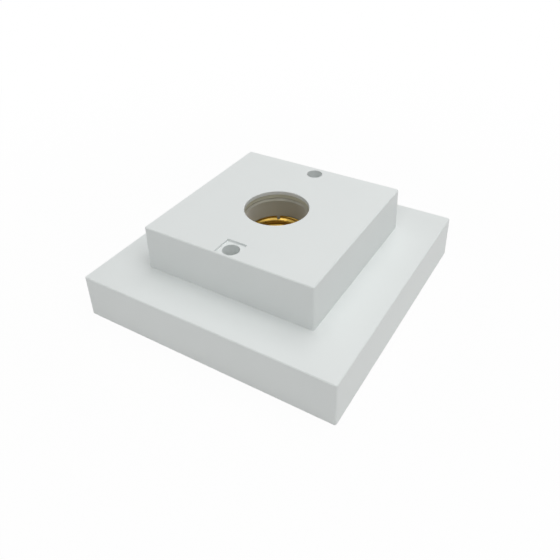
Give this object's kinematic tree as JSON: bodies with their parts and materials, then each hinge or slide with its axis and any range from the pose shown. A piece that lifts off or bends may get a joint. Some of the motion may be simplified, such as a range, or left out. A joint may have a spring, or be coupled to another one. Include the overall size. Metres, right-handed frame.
{
  "type": "batten lamp holder",
  "caption": "White moulded ceiling or wall lamp holder with a square mounting block, a smaller square cover, a deep round lamp hole with a brass screw shell, and a sprung centre contact",
  "frame": {"origin": "centre of the back plane that lies on the ceiling or wall, on the axis of the lamp hole", "axes": "+Z points out of the lamp hole, +X and +Y run along the sides, and the screw well with the square recess is towards -Y"},
  "size_m": [0.12, 0.12, 0.04],
  "materials": {
    "block_moulding": "white thermoset moulding, satin",
    "cover_moulding": "white thermoset moulding, satin",
    "ring_moulding": "off-white moulding",
    "cup_moulding": "ivory insulating moulding",
    "shell_brass": "drawn brass sheet",
    "rivet_brass": "headed brass",
    "contact_brass": "turned brass",
    "spring_bronze": "rolled spring bronze strip",
    "terminal_brass": "stamped brass",
    "terminal_steel": "zinc plated steel",
    "fixing_steel": "zinc plated steel"
  },
  "bodies": {
    "holder": {"mounting_block": "block_moulding", "holder_cover": "cover_moulding", "collar_ring": "ring_moulding", "socket_cup": "cup_moulding", "screw_shell": "shell_brass", "shell_rivet_neutral": "rivet_brass", "shell_rivet_plain": "rivet_brass", "live_spring": "spring_bronze", "live_rivet": "rivet_brass", "neutral_strap": "terminal_brass", "live_block": "terminal_brass", "live_washer": "terminal_brass", "live_screw": "terminal_steel", "neutral_block": "terminal_brass", "neutral_washer": "terminal_brass", "neutral_screw": "terminal_steel", "cup_screw_right": "fixing_steel", "cup_screw_left": "fixing_steel", "cover_screw_front": "fixing_steel", "cover_screw_back": "fixing_steel"},
    "contact": {"centre_contact": "contact_brass"}
  },
  "joints": [
    {"name": "contact_press", "type": "slide", "parent": "holder", "child": "contact", "axis": [0, 0, 1], "range_m": [-0.0015, 0], "stiffness_N_per_m": 1500, "springref_m": 0.001, "deforming": ["live_spring"]}
  ]
}
